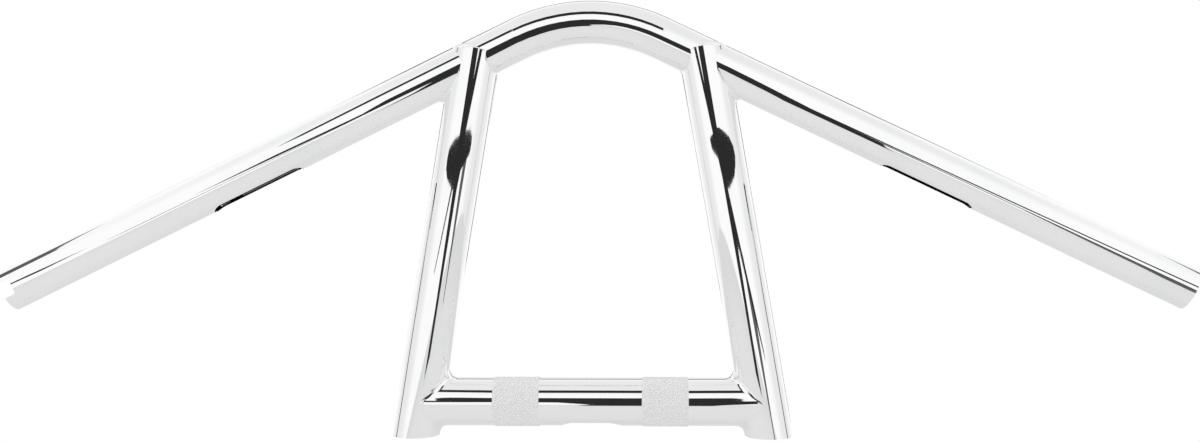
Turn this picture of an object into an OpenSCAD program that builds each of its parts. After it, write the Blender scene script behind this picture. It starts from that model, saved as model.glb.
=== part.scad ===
// Motorcycle handlebar of welded steel tube: one bent grip tube on two
// leaning risers, tied at their feet by a knurled clamp bar.
// Origin: middle of the clamp bar. X runs along the bar, +Z is up, and the
// throttle end is the one at -X.

/* [Grip tube] */
// Outer diameter of the bent tube that carries the grips
grip_d = 25.4; // [22:0.1:26]
// Wall of the bent tube
grip_wall = 3; // [2:0.1:4]
// Length of a straight arm, from the middle of its weld to its end
arm_len = 312; // [240:1:380]
// Slope of the arms below level
arm_slope = 25.9; // [20:0.1:32]
// Tilt of the arms out of the risers' plane, towards -Y
arm_tilt = 4.9; // [0:0.1:15]
// Bend radius at the middle, to the centre line of the tube
bend_r = 97; // [70:1:110]

/* [Risers] */
// Outer diameter of a riser
riser_d = 28.6; // [27:0.1:32]
// Wall of a riser
riser_wall = 3.2; // [2:0.1:4]
// Distance between the risers where they cross the clamp bar
riser_spacing = 205.6; // [190:0.1:240]
// Lean of each riser inwards
riser_lean = 9.7; // [6:0.1:12]
// Height of the grip tube's welds above the clamp bar
joint_h = 204.4; // [160:0.1:260]
// Depth of the risers' feet below the middle of the clamp bar
foot_drop = 20; // [18:0.5:30]
// Radius of the rounded ears that wrap the grip tube
ear_r = 19; // [18:0.5:24]
// Height of the ears above the middle of the grip tube
ear_rise = 7; // [3:0.5:8]
// Thickness of the plug welded into each foot
plug_t = 3; // [2:0.5:5]

/* [Clamp bar] */
// Outer diameter of the clamp bar
bar_d = 28.6; // [25:0.1:28.6]
// Wall of the clamp bar
bar_wall = 3.2; // [2:0.1:4]
// Flat ground on the thin tips of the coped ends, back from the riser's middle
tip_back = 4; // [3:0.5:7]
// Spacing of the two clamp seats, middle to middle
seat_spacing = 88.9; // [80:0.1:100]
// Width of each knurled seat
seat_w = 27.5; // [20:0.5:34]
// Size of one knurl diamond, corner to corner
knurl_pitch = 2.5; // [2.4:0.1:4]
// Height of the knurl diamonds
knurl_h = 0.45; // [0.2:0.05:0.8]

/* [Wiring] */
// Length of the oblong hole under each arm
slot_len = 60; // [30:1:70]
// Width of the oblong hole under each arm
slot_w = 12.7; // [8:0.1:14]
// Distance from a riser weld to the near end of the arm's hole
slot_start = 119.5; // [80:0.5:140]
// Length of the oblong hole under the clamp bar
bar_slot_len = 38; // [26:1:50]
// Width of the oblong hole under the clamp bar
bar_slot_w = 17.5; // [10:0.5:18]
// Diameter of the hidden holes that let wires pass from tube to tube
wire_d = 12.7; // [8:0.1:16]

/* [Throttle notches] */
// Depth of the notches in the throttle end
notch_depth = 7; // [4:0.5:10]
// Width of the wide notch
notch_w = 10.3; // [6:0.1:12]
// Width of the narrow notch on the far side
notch_far_w = 6.4; // [4:0.1:10]
// Turn of the notches about the tube
notch_turn = 0; // [-30:1:30]
// Corner radius at the root of a notch
notch_corner = 1.5; // [0.5:0.1:2]

/* [Welds] */
// Radius of the hollow weld beads
weld_r = 5; // [3:0.5:6]
// Length of the ramp of weld metal over each ear
ear_weld = 3; // [2:0.5:4]

/* [Hidden] */
$fn = 96;

LEFT = -1;
RIGHT = 1;
CHROME = [0.80, 0.81, 0.83];
CLEAR = 1;

foot_x = riser_spacing / 2;
joint_x = foot_x - joint_h * tan(riser_lean);
riser_top = joint_h / cos(riser_lean);
riser_r = riser_d / 2;
grip_r = grip_d / 2;
bar_r = bar_d / 2;

// Points where the middle bend runs into the straight arms, in the tube's plane
bend_x = bend_r * sin(arm_slope);
bend_v = (joint_x - bend_x) * tan(arm_slope);
bend_centre_v = bend_v - bend_r * cos(arm_slope);
straight_len = (joint_x - bend_x) / cos(arm_slope) + arm_len;

// Facets of the tubes that cut the welds, fine enough to leave them smooth
WELD_FN = 360;
BEAD_STEPS = 40;
BEAD_FACES = 5;
BEAD_ROOT = 1.2;
BEAD_SINK = 0.05;
FOOT_BEAD_TURN = 75;
KNURL_BASE = 0.08;
KNURL_ROOT = 1.2;

// Frames

// The plane of the bent tube: X across, Y up in the plane, Z square to it
module tube_plane() {
    translate([0, 0, joint_h])
        rotate([90 - arm_tilt, 0, 0])
            children();
}

// Along one arm: Z runs outwards from the weld, Y is up, X is square to both
module arm_frame(side, from) {
    tube_plane()
        translate([side * joint_x, 0, 0])
            rotate([0, 0, -side * arm_slope])
                rotate([0, side * 90, 0])
                    translate([0, 0, from])
                        children();
}

// Along one riser: Z runs up its middle from the clamp bar
module riser_frame(side) {
    translate([side * foot_x, 0, 0])
        rotate([0, -side * riser_lean, 0])
            children();
}

// Shapes that repeat

// A round rod bent to the line of the grip tube
module bent_rod(d, past_end) {
    tube_plane() {
        translate([0, bend_centre_v, 0])
            rotate([0, 0, 90 - arm_slope])
                rotate_extrude(angle = 2 * arm_slope, $fn = 240)
                    translate([bend_r, 0])
                        circle(d = d, $fn = 96);
        for (side = [LEFT, RIGHT])
            translate([side * bend_x, bend_v, 0])
                rotate([0, 0, -side * arm_slope])
                    rotate([0, side * 90, 0])
                        cylinder(h = straight_len + past_end, d = d);
    }
}

// The straight stretch of the grip tube at one riser, as a solid rod
module arm_rod(side) {
    arm_frame(side, -1.5 * riser_d)
        cylinder(h = 3 * riser_d, d = grip_d);
}

// An oblong cutter: long way along Z, cutting down through Y
module oblong_cutter(length, width, depth) {
    reach = length - width;
    rotate([90, 0, 0]) {
        translate([0, width / 2, 0])
            cylinder(h = depth, d = width);
        translate([0, length - width / 2, 0])
            cylinder(h = depth, d = width);
        translate([-width / 2, width / 2, 0])
            cube([width, reach, depth]);
    }
}

// A notch cutter with rounded root corners, cutting out through X from the end
module notch_cutter(width) {
    c = notch_corner;
    rotate([0, 90, 0])
        linear_extrude(height = grip_d)
            union() {
                translate([-CLEAR, -width / 2])
                    square([notch_depth + CLEAR - c, width]);
                translate([-CLEAR, -width / 2 + c])
                    square([notch_depth + CLEAR, width - 2 * c]);
                for (corner = [-1, 1])
                    translate([notch_depth - c, corner * (width / 2 - c)])
                        circle(r = c, $fn = 32);
            }
}

// The riser's outer form with its rounded ears, as a solid rod
module riser_rod(side) {
    centre_z = riser_top + ear_rise - ear_r;
    riser_frame(side)
        intersection() {
            translate([0, 0, -2 * foot_drop])
                cylinder(h = riser_top + 2 * foot_drop + riser_d, d = riser_d);
            union() {
                translate([-riser_d, -riser_d, -2 * foot_drop])
                    cube([2 * riser_d, 2 * riser_d, 2 * foot_drop + centre_z]);
                translate([0, riser_d, centre_z])
                    rotate([90, 0, 0])
                        cylinder(h = 2 * riser_d, r = ear_r, $fn = 120);
            }
        }
}

// Everything below the level cut of the feet
module below_feet() {
    translate([-riser_spacing, -riser_d, -4 * foot_drop])
        cube([2 * riser_spacing, 2 * riser_d, 3 * foot_drop]);
}

// Weld beads
// A ball of the bead's radius rolls along the corner between two tubes. It
// touches each tube at one point, and the bead fills the corner up to the ball.

function unit(v) = v / norm(v);
function across(v, axis) = v - (v * axis) * axis;
function ease(t) = t <= 0 ? 0 : t >= 1 ? 1 : t * t * (3 - 2 * t);

// Directions at a weld on the right-hand side; the left is its mirror image
RISER_AXIS = [-sin(riser_lean), 0, cos(riser_lean)];
BAR_AXIS = [-1, 0, 0];
BAR_UP = [0, 0, 1];
BAR_FACE = [0, -1, 0];

// How far the ball's centre lies along the branch, for its direction round it
function ball_reach(axis, out, rb, rm, way) =
    let (ta = axis * RISER_AXIS,
         na = out * RISER_AXIS,
         a = 1 - ta * ta,
         b = -2 * ta * na * rb,
         c = rb * rb * (1 - na * na) - rm * rm)
    (-b + way * sqrt(b * b - 4 * a * c)) / (2 * a);

// One cross-section of a bead: its root, then the hollow arc between the tubes
function bead_ring(axis, out, rb, r, way) =
    let (reach = ball_reach(axis, out, rb + r, riser_r + r, way),
         centre = reach * axis + (rb + r) * out,
         out_riser = unit(across(centre, RISER_AXIS)),
         middle = unit(out + out_riser),
         half = acos(out * middle),
         sideways = unit(across(out_riser, middle)),
         root = centre - (r / cos(half) + BEAD_ROOT) * middle,
         arc = [for (k = [0 : BEAD_FACES])
                   let (g = half * (1 - 2 * k / BEAD_FACES),
                        sink = k == 0 || k == BEAD_FACES ? BEAD_SINK : 0)
                   centre - (r + sink) * (cos(g) * middle - sin(g) * sideways)])
    way > 0 ? concat([root], arc)
            : concat([root], [for (k = [BEAD_FACES : -1 : 0]) arc[k]]);

// Skin over a row of rings, with a flat face at each end
function bead_skin(rings, points) =
    concat([for (i = [0 : rings - 2], j = [0 : points - 1])
               let (k = (j + 1) % points)
               [i * points + j, i * points + k, (i + 1) * points + k]],
           [for (i = [0 : rings - 2], j = [0 : points - 1])
               let (k = (j + 1) % points)
               [i * points + j, (i + 1) * points + k, (i + 1) * points + j]],
           [[for (j = [points - 1 : -1 : 0]) j]],
           [[for (j = [0 : points - 1]) (rings - 1) * points + j]]);

// A bead along part of a corner, thinning to thin_to of its radius at the ends
module bead(axis, up, face, rb, from, to, way, thin_from, thin_to) {
    points = [for (i = [0 : BEAD_STEPS])
                 let (turn = from + (to - from) * i / BEAD_STEPS,
                      out = cos(turn) * up + sin(turn) * face,
                      off = abs(turn - (from + to) / 2) / ((to - from) / 2),
                      r = weld_r * (1 - (1 - thin_to) * ease((off - thin_from) / (1 - thin_from))))
                 each bead_ring(axis, out, rb, r, way)];
    polyhedron(points = points, faces = bead_skin(BEAD_STEPS + 1, BEAD_FACES + 2));
}

// The ramp of weld metal over the rounded ears, no wider than the riser
module ear_ramp() {
    centre_z = riser_top + ear_rise - ear_r;
    foot_y = sqrt(grip_r * grip_r - (ear_rise + ear_weld) * (ear_rise + ear_weld));
    riser_frame(RIGHT)
        intersection() {
            translate([0, 0, centre_z])
                cylinder(h = 2 * ear_r, d = riser_d);
            translate([0, 0, centre_z])
                rotate([90, 0, 0])
                    rotate_extrude($fn = 120)
                        polygon([[ear_r, -riser_r],
                                 [ear_r + 0.25 * ear_weld, -riser_r + 0.45 * (riser_r - foot_y)],
                                 [ear_r + 0.6 * ear_weld, -riser_r + 0.8 * (riser_r - foot_y)],
                                 [ear_r + ear_weld, -foot_y],
                                 [ear_r + ear_weld, foot_y],
                                 [ear_r + 0.6 * ear_weld, riser_r - 0.8 * (riser_r - foot_y)],
                                 [ear_r + 0.25 * ear_weld, riser_r - 0.45 * (riser_r - foot_y)],
                                 [ear_r, riser_r]]);
        }
}

// All the weld metal where the right-hand riser meets the grip tube
module top_weld() {
    difference() {
        ear_ramp();
        arm_rod(RIGHT, $fn = WELD_FN);
        riser_rod(RIGHT, $fn = WELD_FN);
    }
}

// All the weld metal where the clamp bar meets the right-hand riser
module foot_weld() {
    difference() {
        translate([foot_x, 0, 0])
            for (turn = [0, 180])
                bead(BAR_AXIS, BAR_UP, BAR_FACE, bar_r, turn - FOOT_BEAD_TURN,
                     turn + FOOT_BEAD_TURN, 1, 0.75, 0.6);
        riser_rod(RIGHT, $fn = WELD_FN);
        rotate([0, 90, 0])
            cylinder(h = foot_x, d = bar_d, $fn = WELD_FN);
        below_feet();
    }
}

// Knurl
// Rows of small pyramids round the bar, on a sleeve sunk into its wall.

module knurl_sleeve() {
    cols = 2 * round(seat_w / knurl_pitch);
    rows = 2 * round(PI * bar_d / knurl_pitch);
    low = bar_r + KNURL_BASE;
    skin = [for (i = [0 : cols], j = [0 : rows - 1])
               let (peak = (i + j) % 2 == 1 && i > 0 && i < cols,
                    r = peak ? low + knurl_h : low)
               [seat_w * (i / cols - 0.5), r * cos(360 * j / rows), r * sin(360 * j / rows)]];
    root = [for (i = [0, cols], j = [0 : rows - 1])
               let (r = bar_r - KNURL_ROOT)
               [seat_w * (i / cols - 0.5), r * cos(360 * j / rows), r * sin(360 * j / rows)]];
    n = len(skin);
    // Each diamond is four triangles round its peak
    diamonds = [for (i = [0 : cols - 1], j = [0 : rows - 1])
                   let (k = (j + 1) % rows,
                        a = i * rows + j,
                        b = i * rows + k,
                        c = (i + 1) * rows + k,
                        d = (i + 1) * rows + j)
                   each (i + j) % 2 == 0 ? [[a, c, b], [a, d, c]] : [[a, d, b], [b, d, c]]];
    rims = [for (j = [0 : rows - 1])
               let (k = (j + 1) % rows)
               each [[n + k, j, k], [n + k, n + j, j],
                     [n + rows + j, cols * rows + k, cols * rows + j],
                     [n + rows + j, n + rows + k, cols * rows + k],
                     [n + j, n + rows + k, n + rows + j],
                     [n + j, n + k, n + rows + k]]];
    polyhedron(points = concat(skin, root), faces = concat(diamonds, rims));
}

// The sub-parts

module grip_tube() {
    color(CHROME)
        difference() {
            bent_rod(grip_d, 0);
            bent_rod(grip_d - 2 * grip_wall, CLEAR);
            for (side = [LEFT, RIGHT]) {
                arm_frame(side, slot_start)
                    oblong_cutter(slot_len, slot_w, grip_d);
                riser_frame(side)
                    translate([0, 0, riser_top - grip_d])
                        cylinder(h = grip_d, d = wire_d);
            }
            arm_frame(LEFT, arm_len)
                rotate([0, 0, notch_turn]) {
                    notch_cutter(notch_w);
                    rotate([0, 0, 180])
                        notch_cutter(notch_far_w);
                }
        }
}

module riser(side) {
    color(CHROME)
        difference() {
            riser_rod(side);
            riser_frame(side)
                translate([0, 0, -2 * foot_drop - CLEAR])
                    cylinder(h = riser_top + 2 * foot_drop + riser_d, d = riser_d - 2 * riser_wall);
            arm_rod(side);
            below_feet();
            // Hole into the clamp bar
            rotate([0, side * 90, 0])
                cylinder(h = foot_x, d = wire_d);
        }
}

module clamp_bar() {
    bar_half = foot_x - tip_back;
    color(CHROME)
        difference() {
            union() {
                translate([-bar_half, 0, 0])
                    rotate([0, 90, 0])
                        cylinder(h = 2 * bar_half, d = bar_d);
                for (side = [LEFT, RIGHT])
                    translate([side * seat_spacing / 2, 0, 0])
                        knurl_sleeve();
            }
            translate([-foot_x, 0, 0])
                rotate([0, 90, 0])
                    cylinder(h = 2 * foot_x, d = bar_d - 2 * bar_wall);
            for (side = [LEFT, RIGHT])
                riser_rod(side);
            translate([-bar_slot_len / 2, 0, 0])
                rotate([0, 90, 0])
                    rotate([0, 0, 90])
                        oblong_cutter(bar_slot_len, bar_slot_w, bar_d);
        }
}

// A flat plug that fills the mouth of the riser, level with its foot
module foot_plug(side) {
    color(CHROME)
        difference() {
            intersection() {
                riser_frame(side)
                    translate([0, 0, -2 * foot_drop])
                        cylinder(h = 2 * foot_drop, d = riser_d - 2 * riser_wall);
                translate([side * foot_x - riser_d, -riser_d, -2 * foot_drop])
                    cube([2 * riser_d, 2 * riser_d, foot_drop + plug_t]);
            }
            below_feet();
        }
}

module weld_top(side) {
    color(CHROME)
        if (side == RIGHT) top_weld();
        else mirror([1, 0, 0]) top_weld();
}

module weld_foot(side) {
    color(CHROME)
        if (side == RIGHT) foot_weld();
        else mirror([1, 0, 0]) foot_weld();
}

grip_tube();
riser(LEFT);  // riser_left
riser(RIGHT);  // riser_right
clamp_bar();
foot_plug(LEFT);  // foot_plug_left
foot_plug(RIGHT);  // foot_plug_right
weld_top(LEFT);  // weld_top_left
weld_top(RIGHT);  // weld_top_right
weld_foot(LEFT);  // weld_foot_left
weld_foot(RIGHT);  // weld_foot_right
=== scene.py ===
# %% [markdown]
# A chromed motorcycle handlebar, dressed for a studio photograph. The packed
# model already holds the welded tubes at their real size. This lesson adds the
# small weld fillets, the chrome finishes and a white studio, because a chromed
# tube looks like whatever stands around it.

# %% Load the frame
import bpy
import math
import numpy as np
from mathutils import Matrix, Vector


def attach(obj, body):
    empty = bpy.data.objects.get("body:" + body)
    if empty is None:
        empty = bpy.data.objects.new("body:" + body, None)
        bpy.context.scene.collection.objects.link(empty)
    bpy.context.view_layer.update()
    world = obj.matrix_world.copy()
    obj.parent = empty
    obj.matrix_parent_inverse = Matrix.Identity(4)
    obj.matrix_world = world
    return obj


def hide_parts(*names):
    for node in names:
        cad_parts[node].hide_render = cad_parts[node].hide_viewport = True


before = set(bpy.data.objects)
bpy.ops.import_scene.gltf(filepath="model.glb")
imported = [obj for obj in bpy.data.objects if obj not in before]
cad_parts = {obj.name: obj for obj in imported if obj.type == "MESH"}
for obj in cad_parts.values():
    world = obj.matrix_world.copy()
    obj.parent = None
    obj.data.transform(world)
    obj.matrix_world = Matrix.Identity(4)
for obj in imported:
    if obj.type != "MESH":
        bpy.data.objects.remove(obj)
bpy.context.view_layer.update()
print("nodes:", sorted(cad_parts))

# %% [markdown]
# The frame has X along the clamp bar, Z up and Y away from the camera. The
# model's driving sizes are written here once, in millimetres, so that every
# fillet and every reflection can be worked out from them. Blender itself works
# in metres, so each mesh is scaled once, when it is made.

# %% Driving sizes
MM = 0.001
GRIP_R = 12.7
RISER_R = 14.3
BAR_R = 14.3
ARM_LEN = 312
ARM_SLOPE = math.radians(25.9)
ARM_TILT = math.radians(4.9)
BEND_R = 97
RISER_LEAN = math.radians(9.7)
FOOT_X = 102.8
FOOT_DROP = 20
JOINT_H = 204.4
EAR_R = 19
EAR_RISE = 7
SEAT_AT = 44.45
SEAT_W = 27.5
JOINT_X = FOOT_X - JOINT_H * math.tan(RISER_LEAN)
print("the risers meet the arms at x = %.1f mm" % JOINT_X)

# %% [markdown]
# Four directions describe the right half of the handlebar: along the riser,
# along the arm, square to the arm in its own plane, and square to that plane
# towards the camera. The left half is the mirror image, so it only needs a
# change of sign in X.

# %% Directions
def mirrored(vector, side):
    return np.array([side * vector[0], vector[1], vector[2]])


def unit(vector):
    return vector / np.linalg.norm(vector)


BEND_UP = np.array([0, math.sin(ARM_TILT), math.cos(ARM_TILT)])
BEND_FACE = np.array([0, -math.cos(ARM_TILT), math.sin(ARM_TILT)])
RISER_AXIS = np.array([-math.sin(RISER_LEAN), 0, math.cos(RISER_LEAN)])
RISER_SIDE = np.array([math.cos(RISER_LEAN), 0, math.sin(RISER_LEAN)])
ARM_AXIS = math.cos(ARM_SLOPE) * np.array([1, 0, 0]) - math.sin(ARM_SLOPE) * BEND_UP
ARM_UP = math.cos(ARM_SLOPE) * BEND_UP + math.sin(ARM_SLOPE) * np.array([1, 0, 0])
JOINT = np.array([JOINT_X, 0, JOINT_H])
FOOT = np.array([FOOT_X, 0, 0])
BEND_TOP = (JOINT_X - BEND_R * math.sin(ARM_SLOPE)) * math.tan(ARM_SLOPE)
BEND_CENTRE = (np.array([0, 0, JOINT_H])
               + (BEND_TOP - BEND_R * math.cos(ARM_SLOPE)) * BEND_UP)
print("the arm drops %.1f mm" % (ARM_LEN * -ARM_AXIS[2]))

# %% [markdown]
# The camera stands where the photographer's stood. A pinhole camera was fitted
# to the edges of the tubes in the photograph, and it gave a 45 mm lens about
# 0.9 m away, turned and tipped by a few degrees.

# %% Camera
CAMERA_AT = np.array([46.69, -891.59, 160.14])
VIEW_TURN = math.radians(2.62)
VIEW_DIP = math.radians(3.31)
VIEW_ROLL = math.radians(-0.34)
camera_data = bpy.data.cameras.new("camera")
camera_data.lens = 45
camera_data.sensor_width = 36
camera_data.clip_start = 0.05
camera = bpy.data.objects.new("camera", camera_data)
camera.matrix_world = (Matrix.Translation(Vector(CAMERA_AT) * MM)
                       @ Matrix.Rotation(VIEW_TURN, 4, "Z")
                       @ Matrix.Rotation(math.radians(90) - VIEW_DIP, 4, "X")
                       @ Matrix.Rotation(VIEW_ROLL, 4, "Z"))
bpy.context.scene.collection.objects.link(camera)
bpy.context.scene.camera = camera
bpy.context.scene.view_settings.view_transform = "Standard"
print("camera at", CAMERA_AT, "mm")

# %% [markdown]
# Chrome is a bright metal under a very smooth skin. A flat number for its
# roughness looks like plastic film, so a fine noise moves it a little, and a
# very low bump stands for the ripple that polishing leaves in the steel.

# %% Helpers for node materials
def new_material(name):
    material = bpy.data.materials.new(name)
    material.use_nodes = True
    nodes = material.node_tree.nodes
    return material, nodes, material.node_tree.links, nodes["Principled BSDF"]


def object_place(nodes):
    return nodes.new("ShaderNodeTexCoord").outputs["Object"]


def noise_at(nodes, links, scale, detail):
    noise = nodes.new("ShaderNodeTexNoise")
    noise.inputs["Scale"].default_value = scale
    noise.inputs["Detail"].default_value = detail
    links.new(object_place(nodes), noise.inputs["Vector"])
    return noise.outputs["Fac"]


def map_range(nodes, links, source, start, end, low, high):
    ramp = nodes.new("ShaderNodeMapRange")
    ramp.interpolation_type = "SMOOTHSTEP"
    ramp.inputs["From Min"].default_value = start
    ramp.inputs["From Max"].default_value = end
    ramp.inputs["To Min"].default_value = low
    ramp.inputs["To Max"].default_value = high
    links.new(source, ramp.inputs["Value"])
    return ramp.outputs["Result"]


def maths(nodes, links, operation, first, second):
    node = nodes.new("ShaderNodeMath")
    node.operation = operation
    for socket, value in zip(node.inputs, (first, second)):
        if isinstance(value, (int, float)):
            socket.default_value = value
        else:
            links.new(value, socket)
    return node.outputs["Value"]


def bump_from(nodes, links, height, distance, shader):
    bump = nodes.new("ShaderNodeBump")
    bump.inputs["Strength"].default_value = 1.0
    bump.inputs["Distance"].default_value = distance
    links.new(height, bump.inputs["Height"])
    links.new(bump.outputs["Normal"], shader.inputs["Normal"])


# %% [markdown]
# The tubes carry show chrome. Its colour is close to white, with a slight
# clouding, and a little more haze where handling and polishing have rubbed it.

# %% Bright chrome
CLOUD_SCALE = 25
HAZE_SCALE = 60
RIPPLE_SCALE = 90
POLISH = (0.015, 0.04)
WELD_POLISH = (0.05, 0.11)


def chrome(name, polish, ripple_height, colour):
    material, nodes, links, shader = new_material(name)
    shader.inputs["Metallic"].default_value = 1.0
    cloud = nodes.new("ShaderNodeMix")
    cloud.data_type = "RGBA"
    cloud.inputs["A"].default_value = (colour, colour, colour, 1)
    cloud.inputs["B"].default_value = (colour * 0.97, colour * 0.975, colour * 0.985, 1)
    links.new(map_range(nodes, links, noise_at(nodes, links, CLOUD_SCALE, 4), 0.45, 0.75, 0, 1),
              cloud.inputs["Factor"])
    links.new(cloud.outputs["Result"], shader.inputs["Base Color"])
    haze = noise_at(nodes, links, HAZE_SCALE, 3)
    links.new(map_range(nodes, links, haze, 0.3, 0.7, *polish),
              shader.inputs["Roughness"])
    bump_from(nodes, links, noise_at(nodes, links, RIPPLE_SCALE, 2), ripple_height, shader)
    return material


bright_chrome = chrome("bright_chrome", POLISH, 0.000004, 0.97)
weld_chrome = chrome("weld_chrome", WELD_POLISH, 0.00003, 0.95)
print("finishes:", bright_chrome.name, weld_chrome.name)

# %% [markdown]
# The clamp bar has two knurled seats. The model has their diamonds as real
# relief. The plating on them is frosty, because each small point scatters the
# light, so this finish turns satin wherever it is within a seat. Finer diamonds
# than a mesh should carry are added as bump, from two crossing waves.

# %% Bar chrome with satin seats
SEAT_FROST = 0.42
SEAT_EDGE = 0.1
WAVES_ROUND = 72
WAVE_HEIGHT = 0.06
bar_chrome, nodes, links, shader = new_material("bar_chrome")
shader.inputs["Metallic"].default_value = 1.0
shader.inputs["Base Color"].default_value = (0.96, 0.96, 0.965, 1)
parts = nodes.new("ShaderNodeSeparateXYZ")
links.new(object_place(nodes), parts.inputs["Vector"])
from_middle = maths(nodes, links, "ABSOLUTE", parts.outputs["X"], 0.0)
from_seat = maths(nodes, links, "ABSOLUTE",
                  maths(nodes, links, "SUBTRACT", from_middle, SEAT_AT * MM), 0.0)
on_seat = map_range(nodes, links, from_seat,
                    (SEAT_W / 2 + SEAT_EDGE) * MM, (SEAT_W / 2 - SEAT_EDGE) * MM, 0, 1)
polish = map_range(nodes, links, noise_at(nodes, links, HAZE_SCALE, 3), 0.3, 0.7, *POLISH)
frost = maths(nodes, links, "MULTIPLY", on_seat, SEAT_FROST)
links.new(maths(nodes, links, "ADD", polish, frost), shader.inputs["Roughness"])
angle = maths(nodes, links, "ARCTAN2", parts.outputs["Y"], parts.outputs["Z"])
around = maths(nodes, links, "MULTIPLY", angle, WAVES_ROUND)
along = maths(nodes, links, "MULTIPLY", parts.outputs["X"], WAVES_ROUND / (BAR_R * MM))
left_hand = maths(nodes, links, "SINE", maths(nodes, links, "ADD", around, along), 0.0)
right_hand = maths(nodes, links, "SINE", maths(nodes, links, "SUBTRACT", around, along), 0.0)
diamonds = maths(nodes, links, "MULTIPLY", left_hand, right_hand)
seat_relief = maths(nodes, links, "MULTIPLY", diamonds, on_seat)
bump_from(nodes, links, seat_relief, WAVE_HEIGHT * MM, shader)
print("seats are satin within %.1f mm of their middles" % (SEAT_W / 2))

# %% [markdown]
# A node of the model keeps its own mesh. Only the material in its slot changes.

# %% Finish the model's own nodes
for name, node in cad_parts.items():
    node.data.materials.clear()
    if name == "clamp_bar":
        node.data.materials.append(bar_chrome)
    elif name.startswith("weld"):
        node.data.materials.append(weld_chrome)
    else:
        node.data.materials.append(bright_chrome)
print("finished", len(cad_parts), "nodes")

# %% [markdown]
# A weld that has been ground and plated is a smooth hollow fillet, as if a ball
# had been rolled along the corner between two tubes. It could be sculpted, but
# rolling the ball in numbers gives the exact shape. At each turn round a tube,
# the ball's centre is one ball radius off both tubes, and the fillet is the arc
# between the two points where it touches.

# %% Roll a ball along the corner
def across(vector, axis):
    return vector - (vector @ axis) * axis


def ball_reach(axis, out, tube_r, riser_r, way):
    along = axis @ RISER_AXIS
    outward = out @ RISER_AXIS
    a = 1 - along * along
    b = -2 * along * outward * tube_r
    c = tube_r * tube_r * (1 - outward * outward) - riser_r * riser_r
    return (-b + way * math.sqrt(b * b - 4 * a * c)) / (2 * a)


def fillet_row(axis, out, tube_r, ball_r, way, steps):
    reach = ball_reach(axis, out, tube_r + ball_r, RISER_R + ball_r, way)
    centre = reach * axis + (tube_r + ball_r) * out
    out_riser = unit(across(centre, RISER_AXIS))
    middle = unit(out + out_riser)
    half = math.acos(out @ middle)
    sideways = unit(across(out_riser, middle))
    row = []
    for k in range(steps + 1):
        g = half * (1 - 2 * k / steps)
        normal = math.cos(g) * middle - math.sin(g) * sideways
        row.append((centre - ball_r * normal, normal))
    return row


def mesh_piece(name, points, normals, faces, material):
    mesh = bpy.data.meshes.new(name)
    mesh.from_pydata([tuple(p * MM) for p in points], [], faces)
    mesh.polygons.foreach_set("use_smooth", [True] * len(mesh.polygons))
    mesh.normals_split_custom_set_from_vertices([tuple(n) for n in normals])
    mesh.materials.append(material)
    piece = bpy.data.objects.new(name, mesh)
    bpy.context.scene.collection.objects.link(piece)
    return piece


def fillet_piece(name, rows, start, side, closed):
    count = len(rows[0])
    points = [start + p for row in rows for p, n in row]
    points = [mirrored(p, side) for p in points]
    points = [np.array([p[0], p[1], max(p[2], -FOOT_DROP)]) for p in points]
    normals = [mirrored(n, side) for row in rows for p, n in row]
    faces = []
    for i in range(len(rows) if closed else len(rows) - 1):
        j = (i + 1) % len(rows)
        for k in range(count - 1):
            faces.append([i * count + k, j * count + k, j * count + k + 1, i * count + k + 1])
    a, b, c = (points[v] for v in faces[0][:3])
    if np.cross(b - a, c - b) @ normals[faces[0][0]] < 0:
        faces = [face[::-1] for face in faces]
    return mesh_piece(name, points, normals, faces, weld_chrome)


# %% [markdown]
# At the feet the fillet runs all the way round the clamp bar. It stands for the
# model's plainer foot welds, which are hidden but kept for collision.

# %% Foot welds
FOOT_BALL = 5
FOOT_ROWS = 96
pieces = []
for side, hand in ((1, "right"), (-1, "left")):
    rows = []
    for i in range(FOOT_ROWS):
        turn = 2 * math.pi * i / FOOT_ROWS
        out = math.cos(turn) * np.array([0, 0, 1]) - math.sin(turn) * np.array([0, 1, 0])
        rows.append(fillet_row(np.array([-1.0, 0, 0]), out, BAR_R, FOOT_BALL, 1, 10))
    skin = fillet_piece("weld_skin_foot_" + hand, rows, FOOT, side, True)
    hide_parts("weld_foot_" + hand)
    pieces.append(skin)
print("foot fillets: %d mm balls" % FOOT_BALL)

# %% [markdown]
# At the top, each riser's ear wraps the grip tube, so the corner exists only
# under the tube: a wide hollow on the inner side, and a tight one in the sharp
# corner on the outer side. Each runs round the tube until the ear's own edge
# takes over, and thins out there.

# %% Top welds
INNER_BALL = 5
OUTER_BALL = 2
TOP_ROWS = 64
EAR_MARGIN = 0.4


def under_the_ear(turn, way):
    out = math.cos(turn) * -ARM_UP + math.sin(turn) * BEND_FACE
    place = ball_reach(ARM_AXIS, out, GRIP_R, RISER_R, way) * ARM_AXIS + GRIP_R * out
    rise = place @ RISER_AXIS + EAR_R - EAR_RISE
    return math.hypot(place @ RISER_SIDE, rise) < EAR_R - EAR_MARGIN


def last_turn(sign, way):
    low, high = math.radians(60), math.radians(150)
    for _ in range(30):
        middle = (low + high) / 2
        if under_the_ear(sign * middle, way):
            low = middle
        else:
            high = middle
    return low


def thinned(share):
    ease = min(max((share - 0.7) / 0.3, 0), 1)
    return 1 - 0.8 * ease * ease * (3 - 2 * ease)


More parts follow.
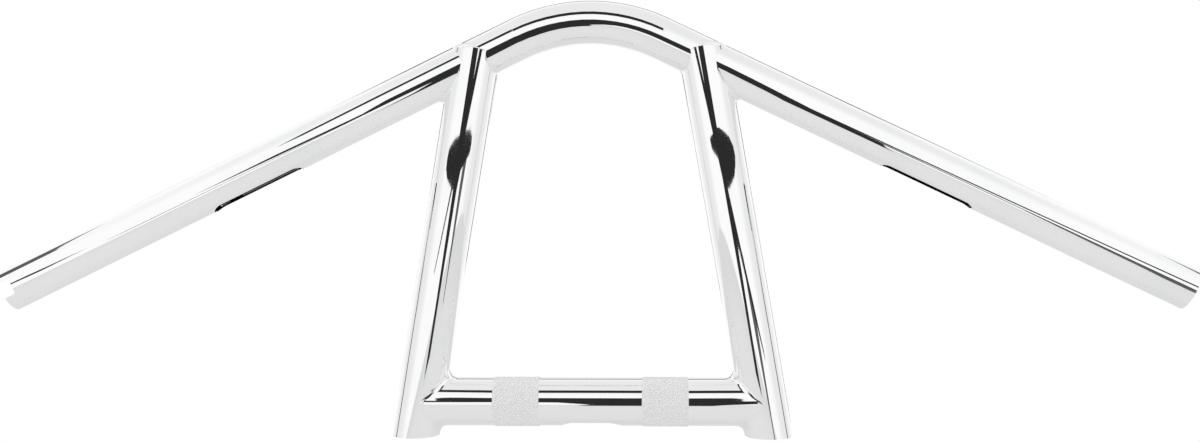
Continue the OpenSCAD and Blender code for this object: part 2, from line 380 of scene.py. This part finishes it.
for side, hand in ((1, "right"), (-1, "left")):
    for way, ball, label in ((-1, INNER_BALL, "inner"), (1, OUTER_BALL, "outer")):
        back, front = last_turn(-1, way), last_turn(1, way)
        rows = []
        for i in range(TOP_ROWS + 1):
            share = 2 * i / TOP_ROWS - 1
            turn = share * (front if share > 0 else back)
            out = math.cos(turn) * -ARM_UP + math.sin(turn) * BEND_FACE
            rows.append(fillet_row(ARM_AXIS, out, GRIP_R, ball * thinned(abs(share)), way, 8))
        pieces.append(fillet_piece("weld_bead_%s_%s" % (label, hand), rows, JOINT, side, False))
    print(hand, "top fillets run to %.0f and %.0f degrees" % (math.degrees(back),
                                                             math.degrees(front)))

# %% [markdown]
# The studio is a white tent. The world is white wherever the camera looks, and
# reflections see the same white with slightly greyer panels overhead, below and
# at the sides, which give round tubes their soft edges.

# %% White tent
world = bpy.data.worlds.new("studio")
bpy.context.scene.world = world
world.use_nodes = True
nodes, links = world.node_tree.nodes, world.node_tree.links
sky = nodes["Background"]
direction = nodes.new("ShaderNodeSeparateXYZ")
links.new(nodes.new("ShaderNodeTexCoord").outputs["Generated"], direction.inputs["Vector"])
overhead = map_range(nodes, links, direction.outputs["Z"], 0.62, 0.9, 0, 0.15)
below = map_range(nodes, links, direction.outputs["Z"], -0.22, -0.75, 0, 0.26)
sideways = maths(nodes, links, "ABSOLUTE", direction.outputs["X"], 0.0)
at_sides = map_range(nodes, links, sideways, 0.72, 0.98, 0, 0.16)
panels = maths(nodes, links, "ADD", maths(nodes, links, "ADD", overhead, below), at_sides)
tent = maths(nodes, links, "SUBTRACT", 1.0, panels)
path = nodes.new("ShaderNodeLightPath")
seen = maths(nodes, links, "MAXIMUM", path.outputs["Is Camera Ray"],
             path.outputs["Is Transmission Ray"])
plain = maths(nodes, links, "MULTIPLY", path.outputs["Is Diffuse Ray"], 0.15)
lit = maths(nodes, links, "MAXIMUM", seen, maths(nodes, links, "SUBTRACT", tent, plain))
links.new(lit, sky.inputs["Strength"])
sky.inputs["Color"].default_value = (1, 1, 1, 1)
print("white tent ready")

# %% [markdown]
# The floor is a pale round sweep below the bar, which fades into the tent. It
# could be a huge plane, but its far edge would then cut a grey line across the
# picture. This one ends just below the camera's view, and still catches a soft
# shadow for the views from above.

# %% Floor and soft lamp
FLOOR_Z = -0.16
FLOOR_R = 1.0
FLOOR_Y = -0.4
FLOOR_SIDES = 96
FADE_FROM = 0.4
FADE_TO = 0.98
ring = []
for i in range(FLOOR_SIDES):
    turn = 2 * math.pi * i / FLOOR_SIDES
    ring.append((FLOOR_R * math.cos(turn), FLOOR_R * math.sin(turn), FLOOR_Z))
floor_mesh = bpy.data.meshes.new("floor")
floor_mesh.from_pydata(ring, [], [tuple(range(FLOOR_SIDES))])
floor = bpy.data.objects.new("floor", floor_mesh)
floor.location = (0, FLOOR_Y, 0)
bpy.context.scene.collection.objects.link(floor)
floor_paint, nodes, links, shader = new_material("floor_paint")
shader.inputs["Base Color"].default_value = (0.82, 0.82, 0.82, 1)
shader.inputs["Roughness"].default_value = 0.9
middle = nodes.new("ShaderNodeVectorMath")
middle.operation = "LENGTH"
links.new(object_place(nodes), middle.inputs["Vector"])
fade = map_range(nodes, links, middle.outputs["Value"], FADE_FROM, FADE_TO, 0, 1)
glow = nodes.new("ShaderNodeEmission")
path = nodes.new("ShaderNodeLightPath")
links.new(map_range(nodes, links, path.outputs["Is Camera Ray"], 0, 1, 0.72, 1),
          glow.inputs["Strength"])
blend = nodes.new("ShaderNodeMixShader")
links.new(fade, blend.inputs["Fac"])
links.new(shader.outputs["BSDF"], blend.inputs[1])
links.new(glow.outputs["Emission"], blend.inputs[2])
links.new(blend.outputs["Shader"], nodes["Material Output"].inputs["Surface"])
floor_mesh.materials.append(floor_paint)

lamp_data = bpy.data.lights.new("top_lamp", "AREA")
lamp_data.shape = "RECTANGLE"
lamp_data.size = 1.6
lamp_data.size_y = 1.0
lamp_data.energy = 6
lamp = bpy.data.objects.new("top_lamp", lamp_data)
lamp.location = (0, -0.3, 1.5)
lamp.rotation_euler = (Vector((0, 0, 0.1)) - lamp.location).to_track_quat("-Z", "Y").to_euler()
lamp.visible_glossy = False
bpy.context.scene.collection.objects.link(lamp)
print("floor %.2f m below the bar" % -FLOOR_Z)

# %% [markdown]
# White light alone would make chrome look like white plastic. Photographers hang
# black cards in the wall of the tent, and leave a dark slit for the camera, so
# that each tube shows crisp dark lines. A card's place is found by optics: from
# the spots on a tube that should look dark, the ray from the camera is
# reflected and followed out to the wall, 0.9 m from the bar.

# %% Spots on the tubes
def arm_spot(side):
    def spot(u, phi):
        face = math.cos(phi) * BEND_FACE + math.sin(phi) * mirrored(ARM_UP, side)
        start = mirrored(JOINT, side) + u * mirrored(ARM_AXIS, side)
        return start + GRIP_R * face, face
    return spot


def bend_spot(turn, phi):
    a = math.radians(turn)
    radial = math.sin(a) * np.array([1, 0, 0]) + math.cos(a) * BEND_UP
    face = math.cos(phi) * BEND_FACE + math.sin(phi) * radial
    return BEND_CENTRE + BEND_R * radial + GRIP_R * face, face


def riser_spot(side):
    def spot(u, phi):
        face = math.cos(phi) * np.array([0, -1, 0]) + math.sin(phi) * mirrored(RISER_SIDE, side)
        start = mirrored(FOOT, side) + u * mirrored(RISER_AXIS, side)
        return start + RISER_R * face, face
    return spot


def bar_spot(x, phi):
    face = np.array([0, -math.cos(phi), math.sin(phi)])
    return np.array([x, 0, 0]) + BAR_R * face, face


# %% [markdown]
# Each card's two long edges come from a small table: how far along the tube, and
# the lowest and highest angle of the dark line there. A card in the wall is seen
# by every tube, as in a real tent, so only a few are used. The camera ignores
# them, as if it looked in through the slit, and so do shadows and soft light.

# %% Black cards in the tent wall
WALL_R = 900
cards = []


def card_paint(name, level):
    material, nodes, links, shader = new_material(name)
    glow = nodes.new("ShaderNodeEmission")
    glow.inputs["Color"].default_value = (level, level, level, 1)
    links.new(glow.outputs["Emission"], nodes["Material Output"].inputs["Surface"])
    return material


black_card = card_paint("black_card", 0.025)
dark_card = card_paint("dark_card", 0.11)


def hang(name, points, faces, paint):
    mesh = bpy.data.meshes.new(name)
    mesh.from_pydata(points, [], faces)
    mesh.materials.append(paint)
    card = bpy.data.objects.new(name, mesh)
    bpy.context.scene.collection.objects.link(card)
    card.visible_camera = False
    card.visible_diffuse = False
    card.visible_shadow = False
    card.visible_transmission = False
    cards.append(card)


def wall_card(name, spot, table, paint):
    strips = 3
    points, faces = [], []
    along = np.linspace(table[0][0], table[-1][0], 8 * len(table))
    lows = np.interp(along, [t[0] for t in table], [t[1] for t in table])
    highs = np.interp(along, [t[0] for t in table], [t[2] for t in table])
    for u, low, high in zip(along, lows, highs):
        for phi in np.linspace(math.radians(low), math.radians(high), strips + 1):
            place, normal = spot(u, phi)
            sight = unit(place - CAMERA_AT)
            bounce = sight - 2 * (sight @ normal) * normal
            near = place @ bounce
            reach = math.sqrt(near * near + WALL_R ** 2 - place @ place) - near
            points.append(tuple((place + reach * bounce) * MM))
    for i in range(len(along) - 1):
        for k in range(strips):
            a = i * (strips + 1) + k
            faces.append([a, a + strips + 1, a + strips + 2, a + 1])
    hang(name, points, faces, paint)


wall_card("card_over_bend", bend_spot, [(-25.9, 15, 22), (-12, 13, 21), (14, 13, 21),
                                        (25.9, 13, 20)], black_card)
wall_card("card_over_arm", arm_spot(-1), [(-28, 16, 23), (10, 17, 23), (60, 16, 22),
                                          (110, 15, 20), (126, 17, 18)], black_card)
wall_card("card_beside_arm", arm_spot(1), [(205, -8, -7), (225, -9, -5), (280, -11, -5),
                                           (312, -15, -4)], dark_card)
wall_card("slit_left", riser_spot(-1), [(130, -12, -2), (136, -13, 15), (142, -14, 21),
                                        (148, -22, 22), (154, -30, 21), (160, -30, 10),
                                        (166, -24, -14)], black_card)
wall_card("slit_right", riser_spot(1), [(130, 0, 6), (136, -1, 22), (142, -4, 29),
                                        (148, -8, 33), (154, -19, 32), (160, -20, 25),
                                        (166, -3, 6)], black_card)
wall_card("slit_foot", riser_spot(-1), [(-20, -11, -6), (60, -11, -6), (130, -12, -4)],
          black_card)
wall_card("card_for_bar", bar_spot, [(-92, 11, 16), (-85, 9, 18), (84, 9, 18), (90, 11, 16)],
          black_card)
print(len(cards), "cards in the tent wall")

# %% [markdown]
# Those cards serve the front. The chrome is seen from all sides, so the rest of
# the tent has dark gaps too: bands above eye level, and upright gaps between the
# cloths. Each is a patch of the wall, given by its turn from the camera's side
# and its height in degrees, so it can be moved like a clock hand.

# %% Gaps round the rest of the tent
GAP_R = 1.4
GAP_LIFT = 0.1


def tent_gap(name, turns, heights, paint):
    columns, levels = 24, 6
    points, faces = [], []
    for turn in np.radians(np.linspace(turns[0], turns[1], columns + 1)):
        for height in np.radians(np.linspace(heights[0], heights[1], levels + 1)):
            points.append((GAP_R * math.sin(turn) * math.cos(height),
                           -GAP_R * math.cos(turn) * math.cos(height),
                           GAP_R * math.sin(height) + GAP_LIFT))
    for i in range(columns):
        for k in range(levels):
            a = i * (levels + 1) + k
            faces.append([a, a + levels + 1, a + levels + 2, a + 1])
    hang(name, points, faces, paint)


tent_gap("band_behind", (148, 212), (25, 34), black_card)
tent_gap("low_band_behind", (150, 215), (2, 8), dark_card)
tent_gap("band_right", (84, 108), (28, 35), dark_card)
tent_gap("band_left", (-108, -84), (28, 35), dark_card)
tent_gap("gap_behind_right", (150, 158), (-12, 24), black_card)
tent_gap("gap_behind_left", (196, 202), (-12, 24), black_card)
tent_gap("gap_right", (92, 97), (-12, 26), dark_card)
tent_gap("gap_left", (-98, -93), (-12, 26), dark_card)
print(len(cards), "cards in all")

# %% [markdown]
# Every piece is told which body it rides on and which finish it takes.

# %% Attach the pieces to their body
for piece in pieces:
    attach(piece, "root")
